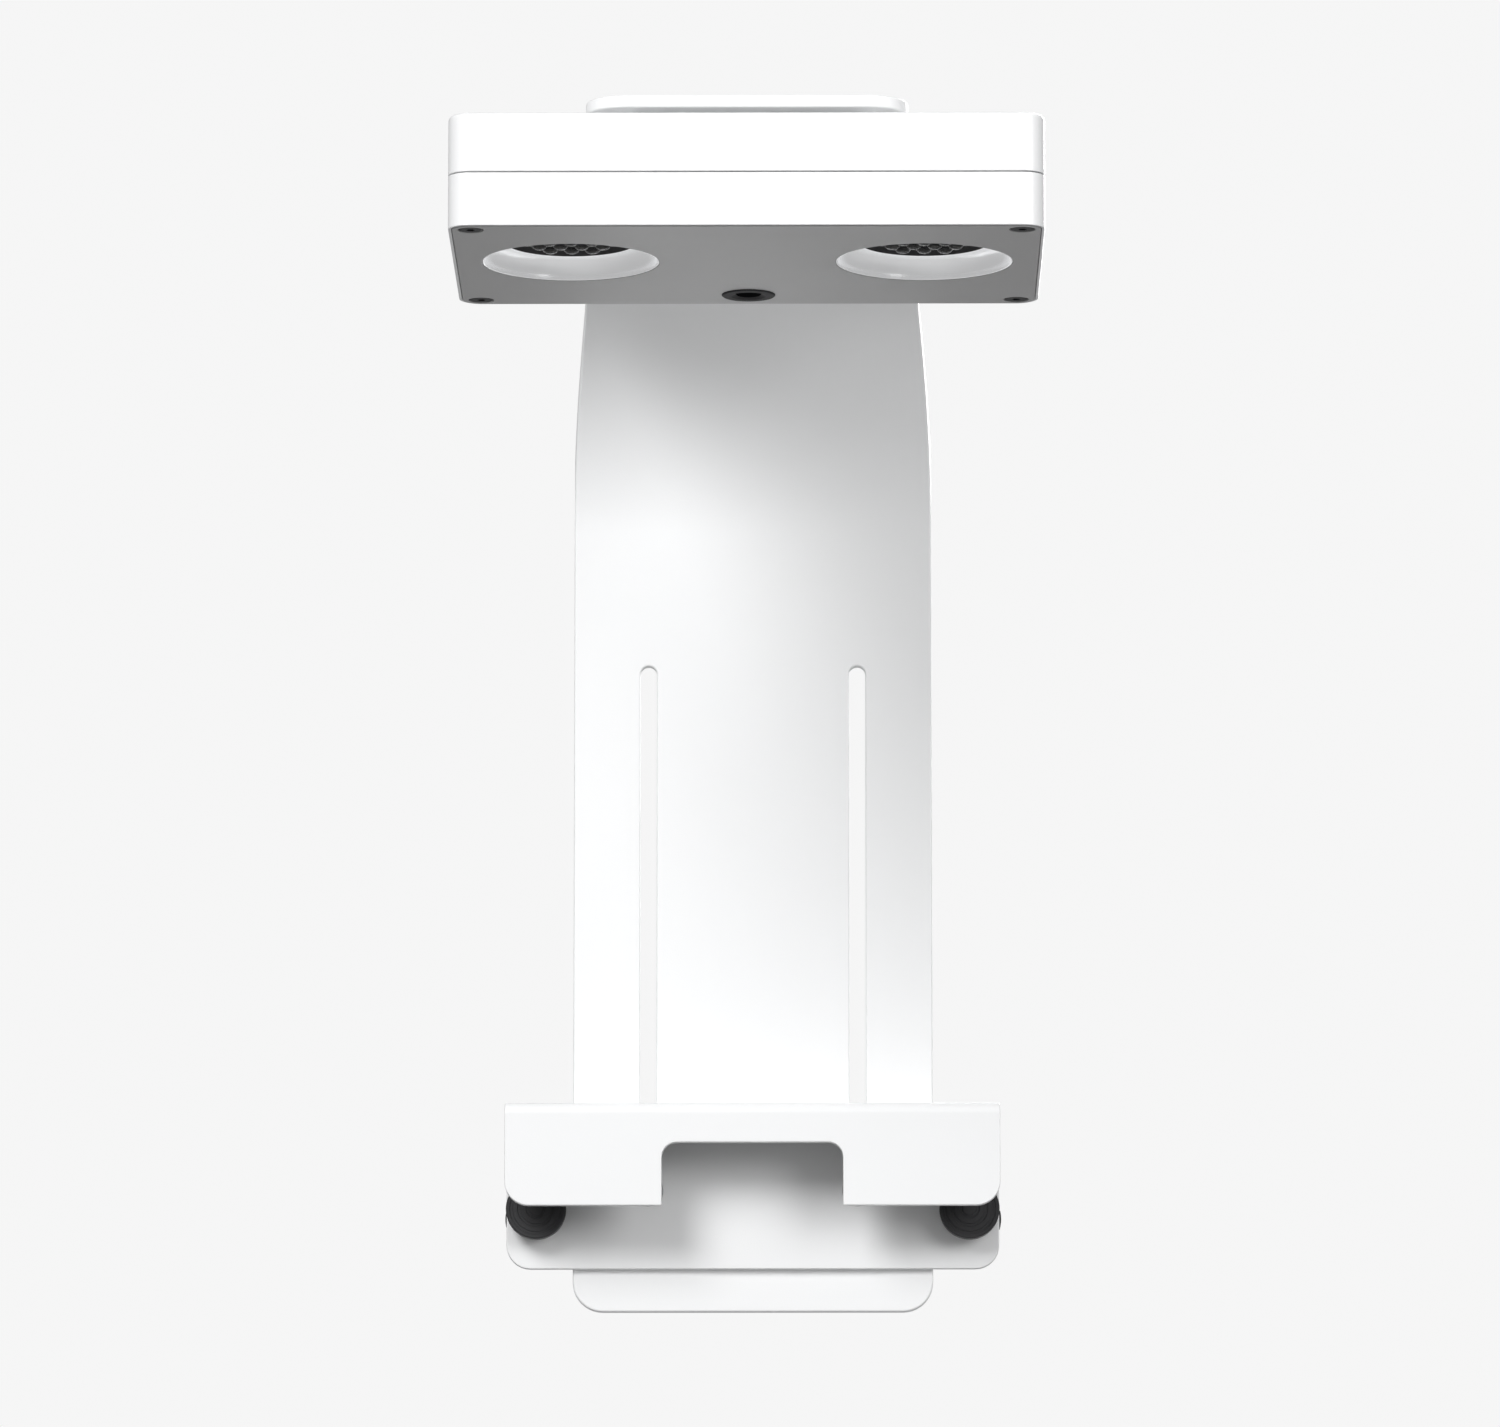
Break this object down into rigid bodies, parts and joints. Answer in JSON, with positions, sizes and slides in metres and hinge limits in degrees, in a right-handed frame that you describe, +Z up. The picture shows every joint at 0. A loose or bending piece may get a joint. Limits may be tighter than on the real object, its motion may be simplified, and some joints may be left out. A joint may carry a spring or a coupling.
{
  "type": "aquarium light",
  "caption": "Flat LED light head with round reflectors under a wide bent arm with height slots, held by a screw clamp on the tank's rear glass.",
  "frame": {"origin": "on top of the tank's rear glass (Z = 0, under the clamp's rim pad), at the glass's inner face (Y = 0), centred on the light's width (X = 0)", "axes": "+X to the viewer's right, +Y away from the viewer in front of the tank, +Z up"},
  "size_m": [0.184, 0.3481, 0.353],
  "materials": {
    "white_casing": "satin white",
    "white_arm": "satin white powder coat",
    "white_cover": "fine satin white",
    "white_bracket": "satin white powder coat",
    "grey_plate": "satin mid grey",
    "black_screw": "satin black",
    "reflector_metal": "bright brushed",
    "array_black": "matte black",
    "lens_clear": "clear",
    "emitter": "phosphor",
    "board_white": "white solder mask",
    "sink_aluminium": "extruded, anodised",
    "fan_black": "satin black",
    "board_green": "green solder mask",
    "chip_black": "matte black",
    "can_metal": "satin",
    "socket_black": "satin black",
    "bezel_dark": "dark grey satin",
    "button_black": "black",
    "steel": "plain steel",
    "spacer_aluminium": "satin",
    "pad_rubber": "soft black",
    "knob_black": "moulded black",
    "brass": "turned"
  },
  "bodies": {
    "clamp": {"clamp_bracket": "white_bracket", "rim_pad": "pad_rubber", "inner_jaw_pads": "pad_rubber", "height_studs": "steel", "clamp_bushes": "steel"},
    "lamp": {"upper_housing": "white_casing", "lower_housing": "white_casing", "arm_plate": "white_arm", "cable_cover_upright": "white_cover", "cable_cover_elbow": "white_cover", "cable_cover_top": "white_cover", "bottom_plate": "grey_plate", "plate_screws": "black_screw", "reflector_left": "reflector_metal", "reflector_right": "reflector_metal", "array_plate_left": "array_black", "array_plate_right": "array_black", "lenses_left": "lens_clear", "lenses_right": "lens_clear", "emitters_left": "emitter", "emitters_right": "emitter", "led_board_left": "board_white", "led_board_right": "board_white", "heat_sink": "sink_aluminium", "fan_frame": "fan_black", "driver_board": "board_green", "board_chips": "chip_black", "switch_body": "chip_black", "board_capacitors": "can_metal", "dc_socket": "socket_black", "button_bezel": "bezel_dark", "bezel_nut": "bezel_dark", "led_board_screws": "steel", "heat_sink_screws": "steel", "fan_screws": "steel", "board_screws": "steel", "button_spring": "steel", "arm_screws": "steel", "arm_nuts": "steel", "arm_spacers": "spacer_aluminium", "cable_grommet": "pad_rubber"},
    "fan": {"fan_rotor": "fan_black"},
    "button": {"control_button": "button_black"},
    "washer_left": {"height_washer_left": "steel"},
    "knob_left": {"height_knob_left": "knob_black", "knob_insert_left": "brass"},
    "pad_left": {"pad_rubber_left": "pad_rubber", "pressure_disc_left": "knob_black"},
    "screw_left": {"clamp_screw_left": "steel", "clamp_knob_left": "knob_black"},
    "washer_right": {"height_washer_right": "steel"},
    "knob_right": {"height_knob_right": "knob_black", "knob_insert_right": "brass"},
    "pad_right": {"pad_rubber_right": "pad_rubber", "pressure_disc_right": "knob_black"},
    "screw_right": {"clamp_screw_right": "steel", "clamp_knob_right": "knob_black"}
  },
  "joints": [
    {"name": "arm_height", "type": "slide", "parent": "clamp", "child": "lamp", "axis": [0, 0, 1], "range_m": [-0.175, 0.019]},
    {"name": "fan_spin", "type": "hinge", "parent": "lamp", "child": "fan", "pos_m": [0, -0.244, 0.265], "axis": [0, 0, 1], "continuous": true},
    {"name": "button_press", "type": "slide", "parent": "lamp", "child": "button", "axis": [0, 0, 1], "range_m": [0, 0.001], "stiffness_N_per_m": 700, "springref_m": -0.001, "deforming": ["button_spring"]},
    {"name": "height_knob_travel_left", "type": "slide", "parent": "clamp", "child": "washer_left", "axis": [0, 1, 0], "range_m": [0, 0.003]},
    {"name": "height_knob_turn_left", "type": "hinge", "parent": "washer_left", "child": "knob_left", "pos_m": [-0.035, 0.037, -0.022], "axis": [0, 1, 0], "range_deg": [-1, 1351]},
    {"name": "clamp_pad_travel_left", "type": "slide", "parent": "clamp", "child": "pad_left", "axis": [0, 1, 0], "range_m": [-0.007, 0.0053]},
    {"name": "clamp_screw_turn_left", "type": "hinge", "parent": "pad_left", "child": "screw_left", "pos_m": [-0.072, 0.03, -0.029], "axis": [0, 1, 0], "range_deg": [-2521, 1909]},
    {"name": "height_knob_travel_right", "type": "slide", "parent": "clamp", "child": "washer_right", "axis": [0, 1, 0], "range_m": [0, 0.003]},
    {"name": "height_knob_turn_right", "type": "hinge", "parent": "washer_right", "child": "knob_right", "pos_m": [0.035, 0.037, -0.022], "axis": [0, 1, 0], "range_deg": [-1, 1351]},
    {"name": "clamp_pad_travel_right", "type": "slide", "parent": "clamp", "child": "pad_right", "axis": [0, 1, 0], "range_m": [-0.007, 0.0053]},
    {"name": "clamp_screw_turn_right", "type": "hinge", "parent": "pad_right", "child": "screw_right", "pos_m": [0.072, 0.03, -0.029], "axis": [0, 1, 0], "range_deg": [-2521, 1909]}
  ],
  "couplings": [
    {"joint": "height_knob_turn_left", "follows": "height_knob_travel_left", "rad_per_m": 7854},
    {"joint": "clamp_screw_turn_left", "follows": "clamp_pad_travel_left", "rad_per_m": 6283.2},
    {"joint": "height_knob_turn_right", "follows": "height_knob_travel_right", "rad_per_m": 7854},
    {"joint": "clamp_screw_turn_right", "follows": "clamp_pad_travel_right", "rad_per_m": 6283.2}
  ]
}
